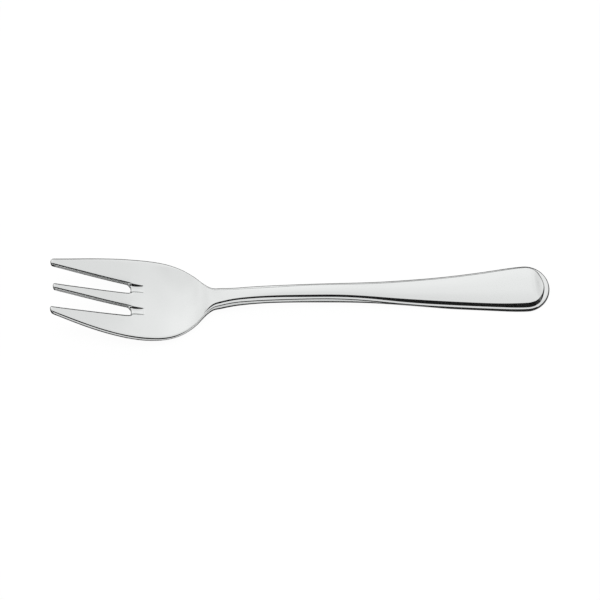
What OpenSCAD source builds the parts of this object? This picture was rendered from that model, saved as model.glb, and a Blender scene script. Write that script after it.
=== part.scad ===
// Cake fork with three tines, struck from one blank of stainless steel.
// The fork lies on its back: +X runs from the tine tips to the end of the handle, +Z is up,
// and the origin is on the table under the middle of its length.
// Places along the fork are measured from the tips unless their comment says otherwise.

/* [Whole fork] */
// Length over all
fork_length = 150; // [140:1:165]

/* [Tines] */
// Length of the tines, from the tips to the roots of the slots
tine_length = 23.2; // [18:0.1:25]
// Width over the tips of the two outer tines
tip_span = 18.3; // [16:0.1:20]
// Width of an outer tine at its tip
outer_tip_width = 1.85; // [1.4:0.05:2.4]
// Width of the middle tine at its tip
middle_tip_width = 1.65; // [1.3:0.05:2.2]
// Width of the middle tine at the roots of the slots
middle_root_width = 4.9; // [4:0.1:5.6]
// How much shorter the middle tine is
middle_setback = 0.75; // [0:0.05:2]
// Height of the outer tips above the table
tip_height = 15.95; // [12:0.05:19]
// Depth of the dish across the tips
tip_dish = 0.1; // [0:0.02:0.2]
// Thickness of the tines at their tips
tip_thickness = 2.3; // [2:0.05:2.5]
// Length over which a tip is rounded
tip_rounding = 1.1; // [0.7:0.05:1.4]

/* [Slots] */
// Width of a slot at its root
slot_root_width = 3.05; // [2.85:0.05:3.6]
// Radius of the corners at the root of a slot
slot_corner = 1.35; // [0.8:0.05:1.4]
// Length of the scoop that runs on from the root of a slot
scoop_length = 3.8; // [2.5:0.1:4.5]
// Depth of that scoop
scoop_depth = 1.4; // [0.8:0.05:1.5]
// Width of the steep side walls of that scoop
scoop_wall = 0.22; // [0.1:0.02:0.4]

/* [Head] */
// Greatest width of the head
head_width = 27.9; // [25:0.1:31]
// Place of the greatest width
head_widest = 27; // [25.5:0.1:31]
// Depth of the dish across the head
dish_depth = 1.35; // [0.6:0.05:1.5]
// Height of the rim of the head at its widest place
head_height = 5.6; // [5.2:0.05:6.4]
// Thickness of the head at its widest place
head_thickness = 2.3; // [2.1:0.05:2.6]
// Place where the back of the head touches the table
bowl_rest = 40.5; // [38:0.1:42]
// Height of the rim of the head at that place
bowl_height = 3.16; // [3.05:0.05:3.6]
// Place of the middle of the heel, where the outline turns in to the neck
heel_place = 44; // [43:0.1:45]
// Width across the middle of the heel
heel_width = 13.8; // [13:0.1:15]
// Place of the fillet between the heel and the throat
fillet_place = 47.6; // [47:0.1:48.2]
// Width across the fillet
fillet_width = 7.3; // [6.9:0.1:8]
// Place of the throat, where the head has run out into the neck
throat_place = 50; // [49.4:0.1:51]
// Width of the throat
throat_width = 6.5; // [6:0.05:6.8]
// Height of the rim at the throat
throat_height = 4.6; // [4.3:0.05:4.9]
// Height of the back at the throat
throat_clearance = 1.78; // [1.5:0.02:2]

/* [Neck] */
// Place where the neck begins
neck_place = 54; // [52.5:0.1:57]
// Width of the neck
neck_width = 5.45; // [5:0.05:6]
// Place of the top of the neck's arch
arch_place = 64; // [61:0.1:68]
// Height of the rim at the top of the arch
arch_height = 5.6; // [5:0.05:6.5]
// Height of the arch below the neck
arch_clearance = 3.17; // [2.6:0.05:3.6]
// Place where the neck ends and the handle begins to flare
flare_place = 81; // [78:0.1:84]
// Width at that place
flare_width = 5.75; // [5.2:0.05:6.4]
// Height of the rim at that place
flare_height = 5.2; // [4.8:0.05:5.6]
// Height of the back at that place
flare_clearance = 2.37; // [2:0.05:2.6]

/* [Handle] */
// Greatest width of the handle
handle_width = 15.95; // [14.7:0.05:17]
// Distance from the greatest width to the end of the handle
end_length = 7.4; // [7:0.1:9]
// Place of the waist, where the handle leaves the arch
waist_place = 99; // [96:0.1:102]
// Width at the waist
waist_width = 7.6; // [6.8:0.05:8.4]
// Height of the rim at the waist
waist_height = 3.25; // [3:0.05:3.6]
// Height of the back at the waist
waist_clearance = 1.5; // [1.2:0.05:1.7]
// Distance from the end of the handle to the far side of the flat that it rests on
rest_far = 28; // [26:0.1:30]
// Distance from the end of the handle to the near side of that flat
rest_near = 18; // [16:0.1:20]
// Height of the rim over that flat
rim_height = 1.44; // [1.36:0.02:1.8]
// Height of the rim at the end of the handle
end_height = 2.2; // [1.8:0.02:2.6]
// Height of the back at the end of the handle
end_clearance = 0.6; // [0.2:0.02:0.8]
// Width at the shoulder, just before the end begins to round
shoulder_width = 14.5; // [13:0.05:15.4]
// Distance from the greatest width back to the shoulder
shoulder_length = 8; // [6:0.1:10]

/* [Border] */
// Width of the stepped border along the neck
neck_border = 1.12; // [1:0.02:1.3]
// Width of the border along the handle
handle_border = 1.43; // [1.3:0.05:1.8]
// Width of the border round the end of the handle
end_border = 1.65; // [1.5:0.05:2.1]
// Height of the step along the neck
neck_step = 0.5; // [0.3:0.02:0.56]
// Height of the step where the handle begins to flare
flare_step = 0.6; // [0.4:0.02:0.7]
// Height of the step along the handle
handle_step = 1.05; // [0.7:0.05:1.2]
// Height of the step where the end of the handle begins to round
shoulder_step = 1.35; // [0.8:0.05:1.5]
// Height of the step at the very end of the handle
end_step = 0.5; // [0.3:0.02:0.7]
// Rise of the raised panel in its middle
panel_crown = 0.35; // [0:0.02:0.6]

/* [Edges] */
// Radius of the upper outer edge
upper_edge = 0.56; // [0.3:0.02:0.58]
// Width of the rounding under the outer edge
under_width = 0.6; // [0.3:0.02:0.7]
// Height of that rounding along the tines
tine_under = 1.0; // [0.5:0.05:1.1]
// Height of that rounding along the neck
neck_under = 1.2; // [0.6:0.05:1.3]
// Height of that rounding along the handle
handle_under = 0.6; // [0.4:0.02:0.66]
// Width of the rounding under the edge of the bowl
bowl_under_width = 2.4; // [1.2:0.1:3]
// Height of the rounding under the edge of the bowl
bowl_under = 1.3; // [0.8:0.05:1.35]

/* [Hidden] */
STEEL = [0.78, 0.8, 0.79];

// Spacing of the cross-sections along the head, the heel, the neck and the handle
head_spacing = 1.9;
heel_spacing = 0.9;
neck_spacing = 2;
handle_spacing = 2.2;
// Cross-sections along a tine, and round a tip or a slot corner
tine_rows = 10;
tip_rows = 4;
corner_rows = 4;
// Directions round the end of the handle
end_rows = 28;

// Places that follow from the sizes
slot_root = tine_length;
scoop_end = slot_root + scoop_length;
border_start = heel_place - 0.4;
border_full = border_start + 1.6;
end_place = fork_length - end_length;
shoulder_place = end_place - shoulder_length;
rest_start = fork_length - rest_far;
rest_end = fork_length - rest_near;
rest_middle = (rest_start + rest_end) / 2;

// Slopes of the outline
tine_spread = 0.26;
heel_slope = -1.15;
fillet_slope = -0.6;
throat_slope = -0.15;
waist_slope = 1.15 * (shoulder_width - flare_width) / 2 / (shoulder_place - flare_place);
shoulder_slope = 1.2 * (shoulder_width - waist_width) / 2 / (shoulder_place - waist_place);

// Share of a tip's rounding on the outer side of an outer tine
tip_lean = 0.65;
// How much a tip is thinned from above and from below, as shares of its thickness
tip_fall = 0.1;
tip_rise = 0.4;
// Width of the cove between the panel and the rim, as a share of its height
cove_share = 0.62;

// Slopes of the side view
tip_slope = -0.46;
root_slope = -0.26;
root_back_slope = -0.31;
throat_rise = 0.16;
throat_back_rise = 0.12;
flare_fall = -0.05;
flare_back_fall = -0.065;
waist_fall = -0.14;
waist_back_fall = -0.06;
end_tilt = 0.05;

// Each line is a list of knots: place, value and slope there
half_line = [
    [0, tip_span / 2, tine_spread],
    [head_widest, head_width / 2, 0],
    [heel_place, heel_width / 2, heel_slope],
    [fillet_place, fillet_width / 2, fillet_slope],
    [throat_place, throat_width / 2, throat_slope],
    [neck_place, neck_width / 2, 0],
    [flare_place, flare_width / 2, 0.013],
    [waist_place, waist_width / 2, waist_slope],
    [shoulder_place, shoulder_width / 2, shoulder_slope],
    [end_place, handle_width / 2, 0]
];

edge_line = [
    [0, tip_height, tip_slope],
    [head_widest, head_height, root_slope],
    [bowl_rest, bowl_height, 0],
    [throat_place, throat_height, throat_rise],
    [arch_place, arch_height, 0],
    [flare_place, flare_height, flare_fall],
    [waist_place, waist_height, waist_fall],
    [rest_middle, rim_height, 0],
    [fork_length, end_height, end_tilt]
];

dish_line = [
    [0, tip_dish, 0],
    [tine_length / 2, 3 * tip_dish, 0.06],
    [scoop_end + 3, dish_depth, 0],
    [bowl_rest, 0.66 * dish_depth, -0.07],
    [throat_place + 1, 0, 0]
];

back_line = [
    [0, tip_height - tip_thickness, tip_slope],
    [head_widest, head_height - dish_at(head_widest) - head_thickness, root_back_slope],
    [bowl_rest, 0, 0],
    [throat_place, throat_clearance, throat_back_rise],
    [arch_place, arch_clearance, 0],
    [flare_place, flare_clearance, flare_back_fall],
    [waist_place, waist_clearance, waist_back_fall],
    [rest_start, 0, 0],
    [rest_end, 0, 0],
    [fork_length, end_clearance, 1.6 * end_clearance / rest_near]
];

border_line = [
    [border_start, upper_edge + 0.36, 0],
    [throat_place, neck_border, 0],
    [flare_place, 1.08 * neck_border, 0.008],
    [rest_start, handle_border, 0],
    [rest_end, handle_border, 0],
    [end_place, end_border, 0]
];

step_line = [
    [border_start, 0, 0],
    [border_full, 0.85 * neck_step, 0],
    [arch_place, neck_step, 0.01],
    [flare_place, flare_step, 0],
    [waist_place - 8, flare_step, 0],
    [rest_start - 10, handle_step, 0],
    [rest_end, handle_step, 0],
    [end_place, shoulder_step, 0],
    [fork_length - 1, end_step, 0]
];

crown_line = [
    [border_start, 0, 0],
    [flare_place, 0.5 * panel_crown, 0],
    [rest_start, panel_crown, 0]
];

// Width and height of the rounding under the outer edge
under_width_line = [
    [slot_root, under_width, 0],
    [bowl_rest - 4, bowl_under_width, 0],
    [heel_place, bowl_under_width, 0],
    [throat_place, under_width, 0]
];
under_line = [
    [slot_root, tine_under, 0],
    [bowl_rest - 4, bowl_under, 0],
    [heel_place, bowl_under, 0],
    [throat_place, neck_under, 0],
    [flare_place, neck_under, 0],
    [rest_start, handle_under, 0]
];

// Which span of a line a place falls in
function span_at(line, s, i = 0) =
    (i >= len(line) - 2 || s < line[i + 1][0]) ? i : span_at(line, s, i + 1);

// Value of a line at a place: a cubic between knots that keeps their slopes, level beyond the ends
function value_at(line, s) =
    let (
        i = span_at(line, s),
        a = line[i],
        b = line[i + 1],
        h = b[0] - a[0],
        t = min(1, max(0, (s - a[0]) / h))
    )
    (1 + 2 * t) * (1 - t) ^ 2 * a[1] + t * (1 - t) ^ 2 * h * a[2]
    + t ^ 2 * (3 - 2 * t) * b[1] + t ^ 2 * (t - 1) * h * b[2];

function half_at(s) = value_at(half_line, s);
function dish_at(s) = value_at(dish_line, s);
function border_at(s) = value_at(border_line, s);
function step_at(s) = value_at(step_line, s);

// Width of the cove, where there is room for it beside the rounded edge
function cove_at(s) = max(0.1, min(cove_share * step_at(s), border_at(s) - upper_edge - 0.05));

// Edges of a slot, as distances from the middle line
function slot_inner(s) = middle_tip_width / 2 + (middle_root_width - middle_tip_width) / 2 * s / slot_root;
function slot_outer(s) =
    let (
        tip = tip_span / 2 - outer_tip_width,
        root = middle_root_width / 2 + slot_root_width
    )
    tip + (root - tip) * s / slot_root;

// How far the rounded corners at the root stand into a slot
function corner_at(s) =
    let (into = max(0, s - (slot_root - slot_corner)))
    slot_corner - sqrt(max(0, slot_corner ^ 2 - into ^ 2));

// Depth of the scoop behind the root of a slot: a floor that rises to the head, between steep side walls
function scoop_at(s, y) =
    let (
        along = min(1, max(0, (scoop_end - s) / scoop_length)),
        inset = min(abs(y) - slot_inner(slot_root), slot_outer(slot_root) - abs(y))
    )
    scoop_depth * along * min(1, max(0, inset / scoop_wall));

// Height of the raised panel and its cove over the rim, at a distance in from the outline
function panel_at(s, inset) =
    let (
        border = border_at(s),
        cove = cove_at(s),
        up = max(0, min(1, (inset - border + cove) / cove)),
        across = max(0, 1 - ((half_at(s) - inset) / (half_at(s) - border)) ^ 2)
    )
    step_at(s) * up + (inset >= border ? value_at(crown_line, s) * across : 0);

// Heights of the upper and the lower face
function upper_at(s, y) =
    value_at(edge_line, s) - dish_at(s) * (1 - (y / half_at(s)) ^ 2)
    + panel_at(s, half_at(s) - abs(y)) - scoop_at(s, y);
function lower_at(s, y) = value_at(back_line, s) + dish_at(s) * (y / half_at(s)) ^ 2;

// Half of a cross-section, from the middle of the upper face round the edge to the middle of the back.
// Each point is a distance from the middle line and a height. Shares place the upper points over the panel.
function half_section(s, shares) =
    let (
        w = half_at(s),
        panel = w - border_at(s),
        foot = panel + cove_at(s),
        under_w = value_at(under_width_line, s),
        under_h = value_at(under_line, s),
        rim = upper_at(s, w - upper_edge),
        back = lower_at(s, w - under_w)
    )
    concat(
        [for (f = shares) [f * panel, upper_at(s, f * panel)]],
        [[foot, upper_at(s, foot)]],
        [for (a = [0, 30, 60, 90]) [w - upper_edge * (1 - sin(a)), rim - upper_edge * (1 - cos(a))]],
        [for (a = [0, 30, 60, 90]) [w - under_w * (1 - cos(a)), back + under_h * (1 - sin(a))]],
        [for (f = [0.66, 0.33, 0]) [f * (w - under_w), lower_at(s, f * (w - under_w))]]
    );

function at(s, y, z) = [s - fork_length / 2, y, z];

// Whole cross-section at a place, as a closed ring of points
function ring(s, shares) =
    let (side = half_section(s, shares), last = len(side) - 1)
    concat(
        [for (p = side) at(s, p[0], p[1])],
        [for (i = [last - 1 : -1 : 1]) at(s, -side[i][0], side[i][1])]
    );

// Cross-section of a tine from y1 to y2, thinned towards the tip by a share from 0 to 1.
// The upper face also has a point at each slot edge, where the scoop round the root begins.
function tine_ring(s, y1, y2, edge1, edge2, share) =
    let (
        width = y2 - y1,
        thin = (1 - share) * tip_thickness,
        r = min(upper_edge, 0.4 * width),
        under_w = min(under_width, 0.4 * width),
        under_h = share * tine_under,
        flat = width - 2 * r,
        near1 = max(edge1, y1 + r + 0.2 * flat),
        near2 = min(edge2, y2 - r - 0.2 * flat),
        across = [y1 + r, near1, (near1 + near2) / 2, near2, y2 - r],
        top = [for (y = across) [y, upper_at(s, y) - tip_fall * thin]],
        low = [for (y = [y2 - under_w, (y1 + y2) / 2, y1 + under_w]) [y, lower_at(s, y) + tip_rise * thin]],
        tall1 = top[0][1] - low[2][1],
        tall2 = top[4][1] - low[0][1],
        up1 = min(r, 0.35 * tall1),
        up2 = min(r, 0.35 * tall2),
        down1 = min(under_h, 0.5 * tall1),
        down2 = min(under_h, 0.5 * tall2),
        pts = concat(
            top,
            [for (a = [30, 60, 90]) [y2 - r * (1 - sin(a)), top[4][1] - up2 * (1 - cos(a))]],
            [for (a = [0, 30, 60]) [y2 - under_w * (1 - cos(a)), low[0][1] + down2 * (1 - sin(a))]],
            low,
            [for (a = [60, 30, 0]) [y1 + under_w * (1 - cos(a)), low[2][1] + down1 * (1 - sin(a))]],
            [for (a = [90, 60, 30]) [y1 + r * (1 - sin(a)), top[0][1] - up1 * (1 - cos(a))]]
        )
    )
    [for (p = pts) at(s, p[0], p[1])];

// Places of the cross-sections along a tine that begins at a place: close together at the tip and the root
function tine_places(start) =
    let (
        body = start + tip_rounding,
        corner = slot_root - slot_corner
    )
    concat(
        [for (i = [0 : tip_rows - 1]) start + tip_rounding * (1 - cos(90 * i / tip_rows))],
        [for (i = [0 : tine_rows]) body + (corner - body) * i / tine_rows],
        [for (i = [1 : corner_rows]) corner + slot_corner * sin(90 * i / corner_rows)]
    );

// Roundness of a tip in plan: the share of the full width that is left
function tip_share(s, start) =
    let (t = min(1, (s - start) / tip_rounding))
    max(0.4, sqrt(1 - (1 - t) ^ 2));

// Evenly spaced places from one to another
function places(from, to, spacing) =
    let (n = ceil((to - from) / spacing))
    [for (i = [0 : n]) from + (to - from) * i / n];

// Two triangles of a four-sided patch, leaving out those that have closed to a line
function patch(a, b, c, d) =
    [for (t = [[a, b, c], [a, c, d]]) if (t[0] != t[1] && t[1] != t[2] && t[2] != t[0]) t];

// Side faces between consecutive rings of n points each
function skin(rows, n) =
    [for (i = [0 : rows - 2], j = [0 : n - 1])
        each patch(i * n + j, i * n + (j + 1) % n, (i + 1) * n + (j + 1) % n, (i + 1) * n + j)];

// Solid through a list of rings
module loft(rings) {
    n = len(rings[0]);
    last = (len(rings) - 1) * n;
    polyhedron(
        points = [for (r = rings) each r],
        faces = concat(
            [[for (j = [n - 1 : -1 : 0]) j]],
            skin(len(rings), n),
            [[for (j = [0 : n - 1]) last + j]]
        )
    );
}

// Shares that place the upper points over the narrow panel of the neck and handle
panel_shares = [0, 0.25, 0.5, 0.72, 0.89, 1];

// Shares over the head, with points on both sides of each side wall of a scoop
function head_shares(s) =
    let (
        row = min(s, scoop_end),
        panel = half_at(row) - border_at(row),
        inner = slot_inner(slot_root),
        outer = slot_outer(slot_root)
    )
    concat(
        [0, 0.5 * inner / panel, inner / panel, (inner + scoop_wall) / panel],
        [for (f = [0.25, 0.5, 0.75]) (inner + f * slot_root_width) / panel],
        [(outer - scoop_wall) / panel],
        [for (f = [0, 0.25, 0.5, 0.75, 1]) outer / panel + f * (1 - outer / panel)]
    );

// An outer tine, whose tip is rounded more on its outer side
module outer_tine() {
    rings = [
        for (s = tine_places(0))
        let (
            share = tip_share(s, 0),
            inner = slot_outer(s) - corner_at(s),
            outer = half_at(s),
            y1 = inner + (1 - tip_lean) * (1 - share) * (outer - inner),
            y2 = outer - tip_lean * (1 - share) * (outer - inner)
        )
        tine_ring(s, y1, y2, slot_outer(s), y2, share)
    ];
    loft(rings);
}

module left_tine() {
    color(STEEL) mirror([0, 1, 0]) outer_tine();
}

module right_tine() {
    color(STEEL) outer_tine();
}

module middle_tine() {
    rings = [
        for (s = tine_places(middle_setback))
        let (
            share = tip_share(s, middle_setback),
            reach = (slot_inner(s) + corner_at(s)) * share
        )
        tine_ring(s, -reach, reach, -slot_inner(s), slot_inner(s), share)
    ];
    color(STEEL) loft(rings);
}

module head() {
    scoop_rows = [for (f = [0, 0.2, 0.4, 0.6, 0.75, 0.88, 0.96]) slot_root + f * scoop_length];
    rows = concat(
        scoop_rows,
        places(scoop_end, heel_place - 2, head_spacing),
        [for (s = places(heel_place - 2, throat_place, heel_spacing)) if (s > heel_place - 2) s],
        [for (s = places(throat_place, neck_place, neck_spacing)) if (s > throat_place) s]
    );
    color(STEEL) loft([for (s = rows) ring(s, head_shares(s))]);
}

module neck() {
    color(STEEL) loft([for (s = places(neck_place, flare_place, neck_spacing)) ring(s, panel_shares)]);
}

// The handle is lofted to its widest place, and the cross-section there then turns round the end
module handle() {
    rows = concat(
        places(flare_place, rest_start, handle_spacing),
        [rest_end],
        [for (s = places(rest_end, end_place, handle_spacing)) if (s > rest_end) s]
    );
    side = half_section(end_place, panel_shares);
    m = len(side);
    n = 2 * m - 2;
    base = (len(rows) - 1) * n;
    turned = len(rows) * n;
    edge_rise = value_at(edge_line, end_place);
    back_rise = value_at(back_line, end_place);
    stretch = end_length / half_at(end_place);
    panel_points = len(panel_shares);
    upper_points = panel_points + 5;

    function turned_point(i, j) =
        let (
            angle = -90 + 180 * i / end_rows,
            s = end_place + stretch * side[j][0] * cos(angle),
            rise = j < upper_points ? value_at(edge_line, s) - edge_rise : value_at(back_line, s) - back_rise,
            fall = j < panel_points ? step_at(end_place) - step_at(s) : 0
        )
        at(s, side[j][0] * sin(angle), side[j][1] + rise - fall);

    function index(i, j) =
        j == 0 || j == m - 1 || i == end_rows ? base + j
        : i == 0 ? base + n - j
        : turned + (i - 1) * (m - 2) + j - 1;

    color(STEEL) polyhedron(
        points = concat(
            [for (s = rows) each ring(s, panel_shares)],
            [for (i = [1 : end_rows - 1], j = [1 : m - 2]) turned_point(i, j)]
        ),
        faces = concat(
            [[for (j = [n - 1 : -1 : 0]) j]],
            skin(len(rows), n),
            [for (i = [0 : end_rows - 1], j = [0 : m - 2])
                each patch(index(i, j), index(i + 1, j), index(i + 1, j + 1), index(i, j + 1))]
        )
    );
}

left_tine();
middle_tine();
right_tine();
head();
neck();
handle();
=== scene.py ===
"""Looks of a polished steel cake fork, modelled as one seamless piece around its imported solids.

The fork is a blank with a plan, an upper face and a back. Its sizes are in millimetres, measured from the tine tips
along the fork, and every vertex is turned into metres in the shared frame when it is placed.
"""

import logging
import math
from dataclasses import dataclass, field
from enum import Enum

import bmesh
import bpy
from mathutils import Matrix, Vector

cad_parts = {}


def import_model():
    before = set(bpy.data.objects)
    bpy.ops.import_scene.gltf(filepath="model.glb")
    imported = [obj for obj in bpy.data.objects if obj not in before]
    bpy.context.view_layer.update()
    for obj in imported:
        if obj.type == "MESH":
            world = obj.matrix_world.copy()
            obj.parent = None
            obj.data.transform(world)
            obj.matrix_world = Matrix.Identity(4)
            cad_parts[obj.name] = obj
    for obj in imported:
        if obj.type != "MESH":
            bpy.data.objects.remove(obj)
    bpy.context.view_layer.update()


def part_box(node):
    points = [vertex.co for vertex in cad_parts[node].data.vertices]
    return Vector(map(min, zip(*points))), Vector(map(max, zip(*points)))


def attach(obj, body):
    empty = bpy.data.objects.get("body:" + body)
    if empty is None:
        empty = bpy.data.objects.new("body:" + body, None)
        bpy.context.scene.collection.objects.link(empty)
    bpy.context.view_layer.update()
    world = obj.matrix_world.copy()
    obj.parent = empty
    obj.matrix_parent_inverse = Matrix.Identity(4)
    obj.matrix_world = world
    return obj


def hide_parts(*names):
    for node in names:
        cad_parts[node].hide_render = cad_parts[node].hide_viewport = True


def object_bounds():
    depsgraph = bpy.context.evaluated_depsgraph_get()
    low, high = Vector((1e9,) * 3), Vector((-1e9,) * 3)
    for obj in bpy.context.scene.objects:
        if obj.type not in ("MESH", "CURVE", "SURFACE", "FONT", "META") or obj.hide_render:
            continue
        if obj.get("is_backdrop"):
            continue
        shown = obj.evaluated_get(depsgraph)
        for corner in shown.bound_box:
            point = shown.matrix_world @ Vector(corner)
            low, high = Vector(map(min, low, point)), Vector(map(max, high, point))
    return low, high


LOG = logging.getLogger("cake_fork")
MM = 0.001
PHOTO_PIXELS = 600
Levels = tuple[tuple[float, float], ...]


class Body(Enum):
    """Rigid bodies that a piece can ride on."""

    FORK = "root"


class Slot(Enum):
    """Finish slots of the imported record."""

    STEEL = "steel"


class Side(Enum):
    """The two large faces of the blank."""

    UPPER = "upper"
    BACK = "back"


@dataclass(frozen=True)
class Knot:
    """A point that a line passes through.

    Args:
        place: Distance from the tips, in millimetres.
        value: Value of the line there, in millimetres.
        slope: Rise of the value per millimetre of place.
    """

    place: float
    value: float
    slope: float = 0.0


@dataclass(frozen=True)
class Line:
    """A smooth line along the fork: a cubic between knots that keeps their slopes, level beyond the ends.

    Args:
        knots: The knots in order of place.
    """

    knots: tuple[Knot, ...]

    def at(self, place: float) -> float:
        """Gives the value of the line.

        Args:
            place: Distance from the tips, in millimetres.

        Returns:
            The value there, in millimetres.
        """
        spans = zip(self.knots, self.knots[1:])
        start, end = next((pair for pair in spans if place < pair[1].place), self.knots[-2:])
        run = end.place - start.place
        t = min(1.0, max(0.0, (place - start.place) / run))
        from_start = (1 + 2 * t) * (1 - t) ** 2 * start.value + t * (1 - t) ** 2 * run * start.slope
        from_end = t * t * (3 - 2 * t) * end.value + t * t * (t - 1) * run * end.slope
        return from_start + from_end


def ease(low: float, high: float, value: float) -> float:
    """Eases from 0 to 1 as a value goes from low to high.

    Args:
        low: Value that gives 0.
        high: Value that gives 1.
        value: The value to place between them.

    Returns:
        A share from 0 to 1.
    """
    t = min(1.0, max(0.0, (value - low) / (high - low)))
    return t * t * (3 - 2 * t)


def rounding(width: float, height: float, inset: float) -> float:
    """Gives how far a rounded edge has dropped from the face.

    Args:
        width: Width of the rounding.
        height: Height of the rounding.
        inset: Distance in from the edge.

    Returns:
        The drop, which is the whole height at the edge and nothing beyond the width.
    """
    turned = min(1.0, max(0.0, 1 - inset / width))
    return height * (1 - math.sqrt(1 - turned ** 2))


def round_edge(radius: float, inset: float) -> float:
    """Gives how far an edge of one radius has dropped at a distance in from it."""
    return rounding(radius, radius, inset)


def grey(level: float) -> tuple[float, float, float, float]:
    """Gives the opaque grey of a level."""
    return (level, level, level, 1.0)


def add_node(nodes: bpy.types.Nodes, kind: str, values: dict | None = None, **settings: str) -> bpy.types.Node:
    """Adds a node.

    Args:
        nodes: Nodes of a material or of the surround.
        kind: Type of the node.
        values: Values of its inputs, by name.
        settings: Settings of the node, which are made before its inputs.

    Returns:
        The node.
    """
    node = nodes.new(kind)
    for name, setting in settings.items():
        setattr(node, name, setting)
    for name, value in (values or {}).items():
        node.inputs[name].default_value = value
    return node


def join(start: bpy.types.Node, output: str, end: bpy.types.Node, entry: str | int) -> None:
    """Links an output of one node to an input of another.

    Args:
        start: Node that the link leaves.
        output: Name of its output.
        end: Node that the link enters.
        entry: Name or number of its input.
    """
    start.id_data.links.new(start.outputs[output], end.inputs[entry])


@dataclass(frozen=True)
class TineSizes:
    """Sizes of the three tines and the two slots between them, in millimetres, with slopes and shares."""

    length: float
    setback: float
    span: float = 18.45
    flare: float = 0.26
    outer_tip: float = 1.85
    middle_tip: float = 1.65
    middle_root: float = 4.9
    slot_root: float = 3.05
    slot_corner: float = 1.35
    tip_height: float = 15.95
    tip_slope: float = -0.46
    dish: float = 0.1
    dish_growth: float = 3.0
    dish_slope: float = 0.06
    tip_thickness: float = 2.55
    outer_corner: float = 1.1
    inner_corner: float = 0.6
    corner_run: float = 2.6
    scoop_length: float = 3.9
    scoop_depth: float = 0.9
    scoop_slope: float = 1.43
    scoop_fade: float = 0.38
    least_flank: float = 0.1
    crisp_run: float = 0.5

    @property
    def scoop_end(self) -> float:
        """Place where the scoop behind a slot ends."""
        return self.length + self.scoop_length


@dataclass(frozen=True)
class HeadSizes:
    """Sizes of the dished head, in millimetres, with slopes and shares."""

    width: float
    widest: float = 27.0
    dish: float = 1.35
    dish_run: float = 3.0
    dish_end: float = 1.0
    height: float = 5.6
    rim_slope: float = -0.26
    back_slope: float = -0.31
    thickness: float = 2.5
    rest: float = 40.5
    rest_height: float = 3.16
    rest_dish_share: float = 0.66
    rest_dish_slope: float = -0.07
    heel: float = 44.0
    heel_width: float = 13.8
    heel_slope: float = -1.15
    fillet: float = 47.6
    fillet_width: float = 7.3
    fillet_slope: float = -0.6
    throat: float = 50.0
    throat_width: float = 6.5
    throat_slope: float = -0.15
    throat_height: float = 4.6
    throat_rise: float = 0.16
    throat_clearance: float = 1.78
    throat_back_rise: float = 0.12


@dataclass(frozen=True)
class NeckSizes:
    """Sizes of the arched neck, in millimetres, with slopes."""

    start: float
    end: float
    width: float = 5.45
    arch: float = 64.0
    arch_height: float = 5.6
    arch_clearance: float = 3.17
    end_width: float = 5.75
    end_flare: float = 0.013
    end_height: float = 5.2
    end_fall: float = -0.05
    end_clearance: float = 2.37
    end_back_fall: float = -0.065


@dataclass(frozen=True)
class HandleSizes:
    """Sizes of the flared handle, in millimetres, with slopes and shares."""

    length_over_all: float
    width: float
    end_length: float = 7.4
    waist: float = 99.0
    waist_width: float = 7.6
    waist_fullness: float = 1.15
    waist_height: float = 3.25
    waist_fall: float = -0.14
    waist_clearance: float = 1.5
    waist_back_fall: float = -0.06
    rest_far: float = 28.0
    rest_near: float = 18.0
    rim_height: float = 1.44
    end_height: float = 2.2
    end_rise: float = 0.05
    end_clearance: float = 0.6
    end_back_fullness: float = 1.6
    shoulder_width: float = 14.5
    shoulder_length: float = 8.0
    shoulder_fullness: float = 1.2

    @property
    def end_place(self) -> float:
        """Place of the greatest width, where the outline begins to turn round the end."""
        return self.length_over_all - self.end_length

    @property
    def rest_start(self) -> float:
        """Place where the flat that the handle lies on begins."""
        return self.length_over_all - self.rest_far

    @property
    def rest_end(self) -> float:
        """Place where that flat ends."""
        return self.length_over_all - self.rest_near


@dataclass(frozen=True)
class BorderSizes:
    """Sizes of the stepped border round the raised panel, in millimetres, with slopes and shares."""

    start: float = 44.2
    start_margin: float = 0.12
    start_slope: float = 0.12
    neck: float = 1.12
    arch_share: float = 1.16
    neck_slope: float = 0.008
    handle: float = 1.43
    end: float = 1.65
    end_middle: float = 0.5
    end_share: float = 1.24
    first_run: float = 2.8
    first_share: float = 0.9
    neck_step: float = 0.56
    neck_rise: float = 0.01
    waist_step: float = 0.68
    waist_run: float = 8.0
    handle_step: float = 1.05
    handle_run: float = 10.0
    shoulder_step: float = 1.35
    turn_place: float = 0.6
    turn_share: float = 0.9
    turn_fall: float = -0.15
    end_step: float = 0.5
    cove_share: float = 0.62
    cove_margin: float = 0.04
    least_cove: float = 0.1
    crown: float = 0.35
    neck_crown_share: float = 0.5


@dataclass(frozen=True)
class EdgeSizes:
    """Sizes of the rounded edges, in millimetres. A rounding under an edge has a width and a height."""

    tip: float = 0.62
    tine: float = 0.74
    tine_run: float = 6.0
    head: float = 0.88
    rim: float = 0.54
    end: float = 0.68
    tine_under: tuple[float, float] = (0.7, 1.15)
    head_under: tuple[float, float] = (2.4, 1.3)
    bowl_run: float = 4.0
    neck_under: tuple[float, float] = (0.7, 1.2)
    turn_run: float = 12.0
    turn_under: tuple[float, float] = (0.75, 1.3)
    handle_under: tuple[float, float] = (0.55, 0.6)
    root: float = 0.5
    scoop: float = 0.05
    root_under: float = 0.12


@dataclass(frozen=True)
class PlanPoint:
    """A point of the blank seen from above.

    Args:
        place: Distance from the tips, in millimetres.
        across: Distance from the middle line, in millimetres.
        behind: Distance behind the free end that its column starts from, in millimetres.
    """

    place: float
    across: float
    behind: float


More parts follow.
